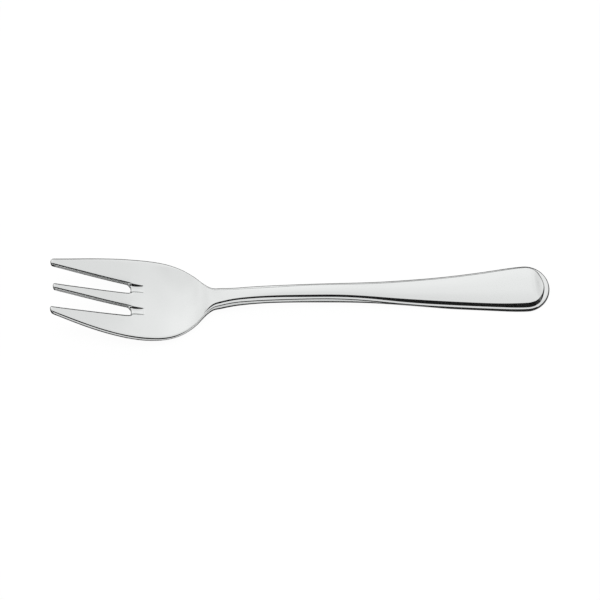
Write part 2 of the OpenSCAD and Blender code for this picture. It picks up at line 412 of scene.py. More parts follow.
@dataclass
class ForkForm:
    """Shape of the whole fork: its outline in plan and the heights of its upper face and its back.

    Args:
        tines: Sizes of the tines.
        head: Sizes of the head.
        neck: Sizes of the neck.
        handle: Sizes of the handle.
        border: Sizes of the border.
        edges: Sizes of the rounded edges.
    """

    tines: TineSizes
    head: HeadSizes
    neck: NeckSizes
    handle: HandleSizes
    border: BorderSizes = field(default_factory=BorderSizes)
    edges: EdgeSizes = field(default_factory=EdgeSizes)

    # Width beside the edge of a slot that still counts as the edge, in millimetres
    HAIR = 0.01

    @classmethod
    def from_frame(cls) -> "ForkForm":
        """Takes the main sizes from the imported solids.

        Returns:
            The form that fits the frame.
        """
        low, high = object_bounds()
        tips = low[0] / MM
        head_low, head_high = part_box("head")
        handle_low, handle_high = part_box("handle")
        return cls(
            tines=TineSizes(
                length=head_low.x / MM - tips,
                setback=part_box("middle_tine")[0].x / MM - tips,
            ),
            head=HeadSizes(width=(head_high.y - head_low.y) / MM),
            neck=NeckSizes(start=head_high.x / MM - tips, end=handle_low.x / MM - tips),
            handle=HandleSizes(
                length_over_all=high[0] / MM - tips,
                width=(handle_high.y - handle_low.y) / MM,
            ),
        )

    def __post_init__(self) -> None:
        """Draws the lines that the sizes give."""
        self.draw_outline()
        self.draw_side_view()
        self.draw_border()
        self.draw_edges()

    def draw_outline(self) -> None:
        """Draws half the outline in plan."""
        tines, head, neck, handle = self.tines, self.head, self.neck, self.handle
        shoulder = handle.end_place - handle.shoulder_length
        waist_gain = handle.waist_fullness * (handle.shoulder_width - neck.end_width)
        shoulder_gain = handle.shoulder_fullness * (handle.shoulder_width - handle.waist_width)
        self.half_line = Line((
            Knot(0.0, tines.span / 2, tines.flare),
            Knot(head.widest, head.width / 2),
            Knot(head.heel, head.heel_width / 2, head.heel_slope),
            Knot(head.fillet, head.fillet_width / 2, head.fillet_slope),
            Knot(head.throat, head.throat_width / 2, head.throat_slope),
            Knot(neck.start, neck.width / 2),
            Knot(neck.end, neck.end_width / 2, neck.end_flare),
            Knot(handle.waist, handle.waist_width / 2, waist_gain / 2 / (shoulder - neck.end)),
            Knot(shoulder, handle.shoulder_width / 2, shoulder_gain / 2 / (shoulder - handle.waist)),
            Knot(handle.end_place, handle.width / 2),
        ))

    def draw_side_view(self) -> None:
        """Draws the heights of the rim, the dish and the back."""
        tines, head, neck, handle = self.tines, self.head, self.neck, self.handle
        self.edge_line = Line((
            Knot(0.0, tines.tip_height, tines.tip_slope),
            Knot(head.widest, head.height, head.rim_slope),
            Knot(head.rest, head.rest_height),
            Knot(head.throat, head.throat_height, head.throat_rise),
            Knot(neck.arch, neck.arch_height),
            Knot(neck.end, neck.end_height, neck.end_fall),
            Knot(handle.waist, handle.waist_height, handle.waist_fall),
            Knot((handle.rest_start + handle.rest_end) / 2, handle.rim_height),
            Knot(handle.length_over_all, handle.end_height, handle.end_rise),
        ))
        self.dish_line = Line((
            Knot(0.0, tines.dish),
            Knot(tines.length / 2, tines.dish_growth * tines.dish, tines.dish_slope),
            Knot(tines.scoop_end + head.dish_run, head.dish),
            Knot(head.rest, head.rest_dish_share * head.dish, head.rest_dish_slope),
            Knot(head.throat + head.dish_end, 0.0),
        ))
        head_back = head.height - self.dish_line.at(head.widest) - head.thickness
        end_slope = handle.end_back_fullness * handle.end_clearance / handle.rest_near
        self.back_line = Line((
            Knot(0.0, tines.tip_height - tines.tip_thickness, tines.tip_slope),
            Knot(head.widest, head_back, head.back_slope),
            Knot(head.rest, 0.0),
            Knot(head.throat, head.throat_clearance, head.throat_back_rise),
            Knot(neck.arch, neck.arch_clearance),
            Knot(neck.end, neck.end_clearance, neck.end_back_fall),
            Knot(handle.waist, handle.waist_clearance, handle.waist_back_fall),
            Knot(handle.rest_start, 0.0),
            Knot(handle.rest_end, 0.0),
            Knot(handle.length_over_all, handle.end_clearance, end_slope),
        ))

    def draw_border(self) -> None:
        """Draws the width and step of the border and the crown of the panel."""
        head, neck, handle, border = self.head, self.neck, self.handle, self.border
        turn = handle.end_place + border.turn_place * handle.end_length
        self.border_line = Line((
            Knot(border.start, self.edges.rim + border.start_margin, border.start_slope),
            Knot(head.throat, border.neck),
            Knot(neck.arch, border.arch_share * border.neck),
            Knot(neck.end, border.neck, border.neck_slope),
            Knot(handle.rest_start, border.handle),
            Knot(handle.rest_end, border.handle),
            Knot(handle.end_place, border.end),
            Knot(handle.end_place + border.end_middle * handle.end_length, border.end),
            Knot(handle.length_over_all, border.end_share * border.end),
        ))
        self.step_line = Line((
            Knot(border.start, 0.0),
            Knot(border.start + border.first_run, border.first_share * border.neck_step),
            Knot(neck.arch, border.neck_step, border.neck_rise),
            Knot(neck.end, border.waist_step),
            Knot(handle.waist - border.waist_run, border.waist_step),
            Knot(handle.rest_start - border.handle_run, border.handle_step),
            Knot(handle.rest_end, border.handle_step),
            Knot(handle.end_place, border.shoulder_step),
            Knot(turn, border.turn_share * border.shoulder_step, border.turn_fall),
            Knot(handle.length_over_all, border.end_step),
        ))
        self.crown_line = Line((
            Knot(border.start, 0.0),
            Knot(neck.end, border.neck_crown_share * border.crown),
            Knot(handle.rest_start, border.crown),
        ))

    def draw_edges(self) -> None:
        """Draws the sizes of the rounded edges along the fork."""
        tines, head, neck, handle, edges = self.tines, self.head, self.neck, self.handle, self.edges
        self.round_line = Line((
            Knot(0.0, edges.tip),
            Knot(edges.tine_run, edges.tine),
            Knot(tines.length - edges.tine_run, edges.tine),
            Knot(head.widest, edges.head),
            Knot(head.heel, edges.rim),
            Knot(handle.rest_end, edges.rim),
            Knot(handle.end_place, edges.end),
        ))
        bowl_start, turn = head.rest - edges.bowl_run, handle.rest_start - edges.turn_run
        places = (tines.length, bowl_start, head.heel, head.throat, neck.end, turn, handle.rest_start)
        bowl, stem = edges.head_under, edges.neck_under
        under = (edges.tine_under, bowl, bowl, stem, stem, edges.turn_under, edges.handle_under)
        self.under_width_line = Line(tuple(Knot(place, size[0]) for place, size in zip(places, under)))
        self.under_height_line = Line(tuple(Knot(place, size[1]) for place, size in zip(places, under)))

    def half(self, place: float) -> float:
        """Gives half the width of the outline at a place, in millimetres."""
        return self.half_line.at(place)

    def slot_inner(self, place: float) -> float:
        """Gives the distance from the middle line to the inner edge of a slot, in millimetres."""
        tines = self.tines
        return tines.middle_tip / 2 + (tines.middle_root - tines.middle_tip) / 2 * place / tines.length

    def slot_outer(self, place: float) -> float:
        """Gives the distance from the middle line to the outer edge of a slot, in millimetres."""
        tines = self.tines
        tip = tines.span / 2 - tines.outer_tip
        root = tines.middle_root / 2 + tines.slot_root
        return tip + (root - tip) * place / tines.length

    def in_slot(self, place: float, out: float) -> bool:
        """Tells whether a point lies between the two edges of a slot or of the scoop behind it."""
        inner, outer = self.slot_inner(place), self.slot_outer(place)
        return inner + self.HAIR < out < outer - self.HAIR and place < self.tines.scoop_end

    def slot_inset(self, place: float, out: float) -> float:
        """Gives the distance from a point to the nearer edge of a slot, in millimetres."""
        return min(abs(out - self.slot_inner(place)), abs(out - self.slot_outer(place)))

    def reach(self, place: float, across: float) -> tuple[float, float]:
        """Turns a plan point into a place on the outline's run and a distance from the middle.

        Round the end of the handle the distance is counted from the centre of its rounding.

        Args:
            place: Distance from the tips, in millimetres.
            across: Distance from the middle line, in millimetres.

        Returns:
            The place whose outline bounds the point, and how far out the point lies from the middle.
        """
        end = self.handle.end_place
        if place <= end:
            return place, abs(across)
        stretch = self.handle.end_length / self.half(end)
        return end, math.hypot((place - end) / stretch, across)

    def station(self, place: float, out: float) -> float:
        """Gives the place where the border beside a point would be measured, in millimetres."""
        end = self.handle.end_place
        if place <= end or out == 0:
            return place
        return end + (place - end) * self.half(end) / out

    def slot_edge(self, place: float) -> float:
        """Gives the radius of a slot's upper edge, which turns crisp along the scoop, in millimetres."""
        crisp = ease(self.tines.length, self.tines.length + self.tines.crisp_run, place)
        return (1 - crisp) * self.round_line.at(place) + crisp * self.edges.scoop

    def scoop_floor(self, place: float) -> float:
        """Gives the depth of the scoop's floor below the head, in millimetres."""
        tines = self.tines
        along = min(1.0, max(0.0, (tines.scoop_end - place) / tines.scoop_length))
        return tines.scoop_depth * along ** tines.scoop_fade

    def scoop_fall(self, place: float, out: float) -> float:
        """Gives how far the scoop behind a slot has sunk below the head.

        Args:
            place: Distance from the tips, in millimetres.
            out: Distance from the middle line, in millimetres.

        Returns:
            The depth, in millimetres.
        """
        side = max(self.slot_edge(place), self.tines.scoop_slope * self.slot_inset(place, out))
        return min(self.scoop_floor(place), side)

    def panel(self, place: float, across: float) -> float:
        """Gives the height of the raised panel and its sloping cove over the rim.

        Args:
            place: Distance from the tips, in millimetres.
            across: Distance from the middle line, in millimetres.

        Returns:
            The height, in millimetres.
        """
        run, out = self.reach(place, across)
        station = self.station(place, out)
        cove = self.cove(station)
        panel = self.half(run) - self.border_line.at(station)
        up = max(0.0, min(1.0, (panel + cove - out) / cove))
        crown = self.crown_line.at(run) * max(0.0, 1 - (out / panel) ** 2)
        level = place + (station - place) * min(1.0, out / panel) ** 2
        return self.step_line.at(level) * up + crown

    def cove(self, place: float) -> float:
        """Gives the width of the cove between the panel and the rim, in millimetres."""
        room = self.border_line.at(place) - self.round_line.at(place) - self.border.cove_margin
        return max(self.border.least_cove, min(room, self.border.cove_share * self.step_line.at(place)))

    def upper_rounding(self, point: PlanPoint) -> float:
        """Gives how far the upper face drops at the edges near a point, in millimetres."""
        run, out = self.reach(point.place, point.across)
        radius = self.round_line.at(run)
        outline = round_edge(radius, self.half(run) - out)
        if point.place >= self.tines.scoop_end:
            return outline
        inset = self.slot_inset(point.place, out)
        if self.in_slot(point.place, out):
            inside = min(1.0, 2 * inset / self.tines.slot_corner)
            return inside * round_edge(self.edges.root, point.behind)
        end = round_edge(self.edges.tip, point.behind)
        left = self.scoop_floor(point.place) / self.tines.scoop_depth
        return max(outline, end, left * round_edge(self.slot_edge(point.place), inset))

    def upper(self, point: PlanPoint) -> float:
        """Gives the height of the upper face over the table, in millimetres."""
        run, out = self.reach(point.place, point.across)
        dish = self.dish_line.at(run) * (1 - (out / self.half(run)) ** 2)
        fall = self.scoop_fall(point.place, out) if self.in_slot(point.place, out) else 0.0
        height = self.edge_line.at(point.place) - dish + self.panel(point.place, point.across) - fall
        return height - self.upper_rounding(point)

    def lower_rounding(self, point: PlanPoint) -> float:
        """Gives how far the back rises at the edges near a point, in millimetres."""
        run, out = self.reach(point.place, point.across)
        width, height = self.under_width_line.at(run), self.under_height_line.at(run)
        outline = rounding(width, height, self.half(run) - out)
        if point.place >= self.tines.length:
            return outline
        if self.in_slot(point.place, out):
            return round_edge(self.edges.root_under, point.behind)
        inset = self.slot_inset(point.place, out)
        end = round_edge(self.edges.tip, point.behind)
        return max(outline, end, rounding(*self.edges.tine_under, inset))

    def lower(self, point: PlanPoint) -> float:
        """Gives the height of the back over the table, in millimetres."""
        run, out = self.reach(point.place, point.across)
        dish = self.dish_line.at(run) * (out / self.half(run)) ** 2
        return self.back_line.at(point.place) + dish + self.lower_rounding(point)


@dataclass(frozen=True)
class PolishedSteel:
    """Mirror-polished stainless steel with faint polishing lines along the fork.

    Args:
        colour: Colour of the metal.
        smooth: Roughness where the polish is best.
        worn: Roughness in the faint polishing lines and smudges.
        line_relief: Depth of the polishing lines, in metres.
        line_strength: Share of that depth that shows.
        line_scale: Count of polishing lines per metre along, across and up.
        smudge_scale: Count of smudges per metre.
        smudge_shade: Share of the colour left in a smudge.
        polish_range: Range of the pattern from the best polish to the worst.
    """

    colour: tuple[float, float, float] = (0.815, 0.828, 0.823)
    smooth: float = 0.05
    worn: float = 0.11
    line_relief: float = 0.000002
    line_strength: float = 0.1
    line_scale: tuple[float, float, float] = (60.0, 2400.0, 2400.0)
    smudge_scale: float = 70.0
    smudge_shade: float = 0.97
    polish_range: tuple[float, float] = (0.15, 0.45)

    def material(self) -> bpy.types.Material:
        """Makes the material.

        Returns:
            The node material of the steel.
        """
        steel = bpy.data.materials.new("polished_steel")
        steel.use_nodes = True
        nodes = steel.node_tree.nodes
        shader = nodes["Principled BSDF"]
        shader.inputs["Metallic"].default_value = 1.0

        place = add_node(nodes, "ShaderNodeTexCoord")
        along = add_node(nodes, "ShaderNodeMapping", {"Scale": self.line_scale})
        join(place, "Object", along, "Vector")
        lines = add_node(nodes, "ShaderNodeTexNoise", {"Scale": 1.0, "Detail": 4.0})
        join(along, "Vector", lines, "Vector")
        smudges = add_node(nodes, "ShaderNodeTexNoise", {"Scale": self.smudge_scale, "Detail": 3.0})
        join(place, "Object", smudges, "Vector")

        both = add_node(nodes, "ShaderNodeMath", operation="MULTIPLY")
        join(lines, "Fac", both, 0)
        join(smudges, "Fac", both, 1)
        best, worst = self.polish_range
        spread = {"From Min": best, "From Max": worst, "To Min": self.smooth, "To Max": self.worn}
        roughness = add_node(nodes, "ShaderNodeMapRange", spread)
        join(both, "Value", roughness, "Value")
        join(roughness, "Result", shader, "Roughness")

        shades = {"A": (*self.colour, 1.0), "B": (*(self.smudge_shade * c for c in self.colour), 1.0)}
        tint = add_node(nodes, "ShaderNodeMix", shades, data_type="RGBA")
        join(smudges, "Fac", tint, "Factor")
        join(tint, "Result", shader, "Base Color")

        relief = add_node(nodes, "ShaderNodeBump", {"Strength": self.line_strength, "Distance": self.line_relief})
        join(lines, "Fac", relief, "Height")
        join(relief, "Normal", shader, "Normal")
        return steel


@dataclass
class CakeFork:
    """The whole fork as one seamless skin: a blank cut in plan, thickened and smoothed.

    Args:
        form: Shape of the fork.
        finish: Finish of the steel.
        end_turns: Rows round each half of the end of the handle.
        smoothing: Levels of subdivision.
    """

    form: ForkForm
    finish: PolishedSteel = field(default_factory=PolishedSteel)
    end_turns: int = 10
    smoothing: int = 2

    # Columns of the cage along the edges of a slot and along the outline
    MIDDLE_EDGE = 3
    OUTER_EDGE = 9
    LAST_COLUMN = 17
    # Place of the column beside a soft edge, as a share of its rounding, and beside a crisp one, in millimetres
    NEAR_EDGE = 0.293
    CRISP = 0.06
    # Shares of the width of an outer tine and of the cove that have a column, and count of the panel's columns
    TINE_COLUMNS = (0.25, 0.5, 0.75)
    COVE_COLUMNS = (0.0, 0.2, 0.85, 1.0)
    PANEL_COLUMNS = 10
    # Width of the panel's lip, in millimetres, and its greatest share of the panel
    PANEL_LIP = 0.15
    LIP_SHARE = 0.12
    # Rows along the tines, in millimetres, and along the scoops, as shares of their length
    TINE_ROWS = (0.0, 0.14, 0.45, 1.0, 2.2, 4.2, 7.0, 10.0, 13.0, 16.0, 19.0)
    SCOOP_ROWS = (0.04, 0.14, 0.35, 0.6, 0.82, 0.94, 1.0, 1.15)
    # Points round a corner of a slot's root: shares of its radius back from the root and in from the edge
    ROOT_ARC = ((1.0, 0.0), (0.5, 0.134), (0.134, 0.5))
    # Distance from the root back to the row before that corner, as a share of its radius
    ROOT_LEAD = 1.6
    # Spacing of the rows along the bowl, heel, neck and handle, with how far the heel's rows reach, in millimetres
    ROW_STEPS = (2.4, 1.1, 3.2, 3.8)
    HEEL_LEAD = 2.0
    THROAT_RUN = 1.0
    # Distances behind the scoops and before the border where the columns change places, in millimetres
    CHANGE_START = 1.0
    CHANGE_LEAD = 0.5
    # Distance within which vertices of the sheet become one, in millimetres
    MERGE = 0.002

    def __post_init__(self) -> None:
        """Lists the places of the cage's straight rows, from the tips to the widest place of the handle."""
        form = self.form
        tines, head = form.tines, form.head
        places = list(self.TINE_ROWS)
        places.append(tines.length - self.ROOT_LEAD * tines.slot_corner)
        self.root_row = len(places)
        places.append(tines.length - self.ROOT_ARC[0][0] * tines.slot_corner)
        places += [tines.length + share * tines.scoop_length for share in self.SCOOP_ROWS]
        heel, throat = head.heel - self.HEEL_LEAD, head.throat + self.THROAT_RUN
        for end, step in zip((heel, throat, form.neck.end, form.handle.end_place), self.ROW_STEPS):
            start = places[-1]
            count = round((end - start) / step)
            places += [start + (end - start) * (i + 1) / count for i in range(count)]
        self.rows = places

    def columns(self, place: float, station: float | None = None) -> list[float]:
        """Places the columns of half the cage, from the middle line to the outline.

        Args:
            place: Distance from the tips, in millimetres.
            station: Place where the border is measured, if it is another.

        Returns:
            The distances from the middle line, in millimetres.
        """
        form = self.form
        half = form.half(place)
        inner, outer = form.slot_inner(place), form.slot_outer(place)
        whole = form.round_line.at(place)
        near = self.NEAR_EDGE * whole
        spread = half - outer - 2 * whole
        beside = max(self.CRISP, self.NEAR_EDGE * form.slot_edge(place))
        slotted = [0.0, inner - whole, inner - beside, inner]
        flank = max(form.tines.least_flank, form.scoop_floor(place) / form.tines.scoop_slope)
        slotted += [inner + self.CRISP, inner + flank, (inner + outer) / 2, outer - flank, outer - self.CRISP]
        slotted += [outer, outer + beside, outer + whole]
        slotted += [outer + whole + share * spread for share in self.TINE_COLUMNS]

        station = place if station is None else station
        panel, cove = half - form.border_line.at(station), form.cove(station)
        top = panel - min(self.PANEL_LIP, self.LIP_SHARE * panel)
        panelled = [top * i / self.PANEL_COLUMNS for i in range(self.PANEL_COLUMNS + 1)]
        panelled += [panel + share * cove for share in self.COVE_COLUMNS]
        share = ease(form.tines.scoop_end + self.CHANGE_START, form.border.start - self.CHANGE_LEAD, place)
        return [a + share * (b - a) for a, b in zip(slotted, panelled)] + [half - whole, half - near, half]

    def tip_turn(self, place: float, column: int) -> float:
        """Gives how far a column stands back at a tip, so that the tip is rounded in plan.

        Args:
            place: Distance from the tip, in millimetres.
            column: Number of the column.

        Returns:
            The distance that the column stands back, in millimetres.
        """
        tines = self.form.tines
        left = max(0.0, 1 - place / tines.corner_run) ** 2
        across = self.columns(place)
        if column <= self.MIDDLE_EDGE:
            inset = across[self.MIDDLE_EDGE] - across[column]
            return left * round_edge(tines.inner_corner, inset)
        inner = round_edge(tines.inner_corner, across[column] - across[self.OUTER_EDGE])
        outer = round_edge(tines.outer_corner, across[self.LAST_COLUMN] - across[column])
        return left * max(inner, outer)

    def plan_point(self, row: int, column: int) -> PlanPoint:
        """Finds where a vertex of the cage lies in plan.

        Args:
            row: Number of the row, from the tips.
            column: Number of the column, negative on the left.

        Returns:
            The point seen from above.
        """
        form, tines, count = self.form, self.form.tines, abs(column)
        side = math.copysign(1.0, column)
        if row >= len(self.rows):
            turn = math.pi / 2 * (row - len(self.rows) + 1) / self.end_turns
            end = form.handle.end_place
            out = self.columns(end, end + form.handle.end_length * math.sin(turn))[count]
            stretch = form.handle.end_length / form.half(end)
            return PlanPoint(end + stretch * out * math.sin(turn), side * out * math.cos(turn), end)
        place = self.rows[row]
        if self.MIDDLE_EDGE < count < self.OUTER_EDGE:
            return self.slot_point(row, column)
        if row > self.root_row:
            return PlanPoint(place, side * self.columns(place)[count], place)
        behind = place
        place += self.tip_turn(place, count)
        if count <= self.MIDDLE_EDGE:
            place += tines.setback * (1 - place / self.rows[self.root_row])
        return PlanPoint(place, side * self.columns(place)[count], behind)

    def slot_point(self, row: int, column: int) -> PlanPoint:
        """Finds where a vertex between the edges of a slot lies: round its root, or on the scoop behind it.

        Args:
            row: Number of the row, from the tips.
            column: Number of the column, negative on the left.

        Returns:
            The point seen from above.
        """
        tines, count = self.form.tines, abs(column)
        side = math.copysign(1.0, column)
        place = self.rows[row]
        if row > self.root_row:
            return PlanPoint(place, side * self.columns(place)[count], place - tines.length)
        inner, outer = self.form.slot_inner(tines.length), self.form.slot_outer(tines.length)
        steps = min(count - self.MIDDLE_EDGE, self.OUTER_EDGE - count)
        if steps >= len(self.ROOT_ARC):
            return PlanPoint(tines.length, side * (inner + outer) / 2, 0.0)
        back, into = (share * tines.slot_corner for share in self.ROOT_ARC[steps])
        across = inner + into if count - self.MIDDLE_EDGE == steps else outer - into
        return PlanPoint(tines.length - back, side * across, 0.0)

    def cut_blank(self) -> bmesh.types.BMesh:
        """Makes the upper face as an open sheet with its two slots cut out.

        Returns:
            The sheet, whose vertices carry their plan points.
        """
        row_count = len(self.rows) - 1 + self.end_turns
        column_count = 2 * self.LAST_COLUMN
        sheet = bmesh.new()
        bmesh.ops.create_grid(sheet, x_segments=row_count, y_segments=column_count, size=1.0)
        layers = [sheet.verts.layers.float.new(name) for name in ("place", "across", "behind")]

        def cell(point: Vector) -> tuple[float, float]:
            """Gives the row and column of a point of the flat grid."""
            return (point.x + 1) / 2 * row_count, point.y * self.LAST_COLUMN

        slots = []
        for face in sheet.faces:
            row, column = cell(face.calc_center_median())
            if row < self.root_row and self.MIDDLE_EDGE < abs(column) < self.OUTER_EDGE:
                slots.append(face)
        bmesh.ops.delete(sheet, geom=slots, context="FACES")

        for vert in sheet.verts:
            row, column = cell(vert.co)
            point = self.plan_point(round(row), round(column))
            for layer, value in zip(layers, (point.place, point.across, point.behind)):
                vert[layer] = value
            vert.co = self.vertex(point, Side.UPPER)
        bmesh.ops.remove_doubles(sheet, verts=sheet.verts, dist=self.MERGE * MM)
        return sheet

    def vertex(self, point: PlanPoint, side: Side) -> Vector:
        """Places a point of the blank in the shared frame.

        Args:
            point: The point seen from above.
            side: Face of the blank.

        Returns:
            The point, in metres.
        """
        height = self.form.upper(point) if side is Side.UPPER else self.form.lower(point)
        return Vector((point.place - self.form.handle.length_over_all / 2, point.across, height)) * MM

    def thicken(self, sheet: bmesh.types.BMesh) -> None:
        """Gives the sheet its back and its walls.

        Args:
            sheet: The open sheet, which becomes a closed blank.
        """
        layers = [sheet.verts.layers.float[name] for name in ("place", "across", "behind")]
        made = bmesh.ops.extrude_face_region(sheet, geom=sheet.faces[:], use_keep_orig=True)
        for vert in (item for item in made["geom"] if isinstance(item, bmesh.types.BMVert)):
            vert.co = self.vertex(PlanPoint(*(vert[layer] for layer in layers)), Side.BACK)
        bmesh.ops.recalc_face_normals(sheet, faces=sheet.faces)

    def build(self) -> bpy.types.Object:
        """Builds, smooths and dresses the fork.

        Returns:
            The finished object.
        """
        blank = self.cut_blank()
        self.thicken(blank)
        mesh = bpy.data.meshes.new("cake_fork")
        blank.to_mesh(mesh)
        blank.free()
        mesh.polygons.foreach_set("use_smooth", [True] * len(mesh.polygons))
        fork = bpy.data.objects.new("cake_fork", mesh)
        bpy.context.scene.collection.objects.link(fork)
        smooth = fork.modifiers.new("smooth_skin", "SUBSURF")
        smooth.levels = self.smoothing
        smooth.render_levels = self.smoothing
        mesh.materials.append(self.finish.material())
        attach(fork, Body.FORK.value)
        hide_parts("left_tine", "middle_tine", "right_tine", "head", "neck", "handle")
        return fork


class PaintedReflection(Enum):
    """Dark sheets on the table that only the steel shows: painted shadow of the fork along its near edge, beneath
    its slots' edges, under it and behind it, and a painted dark table before it and past its tips.
    """

    # Painted dark table before the fork and past its tips (front, left); painted shadow along its near edge,
    # beneath the slots' edges, under it and behind it (lip, slots, under, back)
    FRONT = "painted_dark_front"
    LIP = "painted_lip_shadow"
    NEAR_SLOT = "painted_near_slot_shadow"
    FAR_SLOT = "painted_far_slot_shadow"
    LEFT = "painted_dark_left"
    UNDER = "painted_under_shadow"
    BACK = "painted_back_shadow"


@dataclass(frozen=True)
class Card:
    """A dark card that stands on the table and only shows in the steel.

    Args:
        name: Name of the card.
        size: Width and height, in metres.
        place: Where its foot stands in the frame, in metres.
        turn: Turn round the upright, in degrees.
    """

    name: str
    size: tuple[float, float]
    place: tuple[float, float]
    turn: float = 0.0


@dataclass(frozen=True)
class Studio:
    """White table, soft light, dark cards, painted shadows and a painted dark table that only the steel shows, and
    the camera.

    Args:
        form: Shape of the fork.
        elevation: Height of the camera over the table, in degrees.
        azimuth: Turn of the camera round the fork, in degrees.
        distance: Distance of the camera from its target, in millimetres.
        target: Point that the camera looks at, in millimetres.
        pixels_per_mm: Scale of the picture at the target.
        sensor: Width of the camera's sensor, in millimetres.
        floor_size: Width of the table, in metres.
        seen_white: Share of plain white in the table as the camera sees it.
        table_tone: Tone of the table in the light.
        mirrored_shade_tone: Darker tone of the table as the steel mirrors it, a painted shade in its reflection.
        card_tone: Tone of the cards.
        painted_dark_tone: Tone of the painted shadows and painted dark table round the fork.
        under_shadow_tone: Tone of the painted shadow under the fork.
        lip_shadow_line: How far the painted shadow along the near edge reaches in front of the fork, as a share of
            the rim's height.
        lamp_size: Width of the lamp, in metres.
        lamp_power: Power of the lamp, in watts.
        lamp_place: Place of the lamp, in metres.
    """

    form: ForkForm
    elevation: float = 58.0
    azimuth: float = -3.05
    distance: float = 650.0
    target: tuple[float, float, float] = (-1.0, -2.9, 5.18)
    pixels_per_mm: float = 3.328
    sensor: float = 36.0
    floor_size: float = 6.0
    seen_white: float = 0.96
    table_tone: float = 0.9
    mirrored_shade_tone: float = 0.6
    card_tone: float = 0.015
    painted_dark_tone: float = 0.02
    under_shadow_tone: float = 0.12
    # Painted shadow along the fork's near edge, which only the steel shows
    lip_shadow_line: Line = Line((
        Knot(0.0, 0.54),
        Knot(20.0, 0.49),
        Knot(52.0, 0.4),
        Knot(90.0, 0.4),
        Knot(112.0, 4.4),
    ))
    lamp_size: float = 0.7
    lamp_power: float = 9.0
    lamp_place: tuple[float, float, float] = (0.0, -0.2, 1.3)

    CARDS = (
        Card("front_card", (1.0, 0.62), (0.0, -0.42)),
        Card("back_card", (2.4, 0.27), (0.0, 0.6)),
        Card("left_card", (1.6, 0.25), (-0.5, 0.3), 90.0),
        Card("right_card", (1.6, 0.25), (0.5, 0.3), 90.0),
    )
    PAINTED_STRIPS = 160
    # Reach of the painted shadows and painted dark table past the tips, past the handle and to the front, and their
    # lift, in millimetres
    PAINTED_LEFT = 120.0
    PAINTED_RIGHT = 600.0
    PAINTED_FRONT = 700.0
    PAINTED_LIFT = 0.05
    # Gap between the tips and the painted dark table before them, gap from the slots to the painted shadow under
    # the fork, and start of the painted shadows beneath the slots, in millimetres
    LEFT_GAP = 1.5
    UNDER_GAP = 1.0
    SLOT_START = -4.0
    # Reach of the bare strip before the fork, of the painted shadows beneath the slots and of the painted shadow
    # behind the fork, in heights of the rim
    STRIP_REACH = 4.5
    SLOT_REACH = 0.29
    BACK_REACH = 12.0
    # Width that the painted shadow behind the fork has besides, in millimetres
    BACK_WIDTH = 60.0
    # Grey levels of the surround, from the horizon to overhead and from left to right
    SKY_LEVELS = ((0.0, 0.05), (0.26, 0.1), (0.4, 1.0), (0.7, 1.04), (0.86, 0.985), (0.95, 0.895), (1.0, 0.86))
    SIDE_LEVELS = ((0.0, 0.9), (0.28, 0.93), (0.45, 1.0), (0.53, 0.995), (0.7, 0.925), (0.8, 0.84), (1.0, 0.8))

    def add_camera(self) -> bpy.types.Object:
        """Adds the camera.

        Returns:
            The camera object.
        """
        lift, turn = math.radians(self.elevation), math.radians(self.azimuth)
        away = Vector((math.sin(turn) * math.cos(lift), -math.cos(turn) * math.cos(lift), math.sin(lift)))
        data = bpy.data.cameras.new("camera")
        data.sensor_width = self.sensor
        data.lens = self.sensor * self.pixels_per_mm * self.distance / PHOTO_PIXELS
        data.clip_start = 0.01
        camera = bpy.data.objects.new("camera", data)
        bpy.context.scene.collection.objects.link(camera)
        camera.location = (Vector(self.target) + self.distance * away) * MM
        camera.rotation_euler = (-away).to_track_quat("-Z", "Y").to_euler()
        bpy.context.scene.camera = camera
        return camera

    @staticmethod
    def add_sheet(name: str, size: tuple[float, float], strips: int = 1) -> bpy.types.Object:
        """Adds a flat stage sheet at the origin.

        Args:
            name: Name of the sheet.
            size: Width and depth, in metres.
            strips: Count of strips across its width.

        Returns:
            The sheet.
        """
        flat = bmesh.new()
        bmesh.ops.create_grid(flat, x_segments=strips, y_segments=1, size=0.5)
        bmesh.ops.scale(flat, vec=(size[0], size[1], 1.0), verts=flat.verts)
        mesh = bpy.data.meshes.new(name)
        flat.to_mesh(mesh)
        flat.free()
        sheet = bpy.data.objects.new(name, mesh)
        bpy.context.scene.collection.objects.link(sheet)
        sheet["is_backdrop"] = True
        return sheet

    def add_floor(self) -> bpy.types.Object:
        """Adds the white table, which keeps a faint shadow and shows it in the steel, darker there by painted
        shade.

        Returns:
            The table.
        """
        floor = self.add_sheet("table", (self.floor_size, self.floor_size))
        white = bpy.data.materials.new("white_table")
        white.use_nodes = True
        nodes = white.node_tree.nodes
        nodes.clear()
        out = add_node(nodes, "ShaderNodeOutputMaterial")
        mix = add_node(nodes, "ShaderNodeMixShader")
        cloth = add_node(nodes, "ShaderNodeBsdfDiffuse")
        # The table is darker in the steel than in the light: painted shade in its reflection
        tones = {"A": grey(self.table_tone), "B": grey(self.mirrored_shade_tone)}
        tone = add_node(nodes, "ShaderNodeMix", tones, data_type="RGBA")
        join(tone, "Result", cloth, "Color")
        glow = add_node(nodes, "ShaderNodeEmission", {"Color": grey(1.0), "Strength": 1.0})
        rays = add_node(nodes, "ShaderNodeLightPath")
        join(rays, "Is Glossy Ray", tone, "Factor")
        share = add_node(nodes, "ShaderNodeMath", operation="MULTIPLY")
        share.inputs[1].default_value = self.seen_white
        join(rays, "Is Camera Ray", share, 0)
        join(share, "Value", mix, "Fac")
        join(cloth, "BSDF", mix, 1)
        join(glow, "Emission", mix, 2)
        join(mix, "Shader", out, "Surface")
        floor.data.materials.append(white)
        return floor

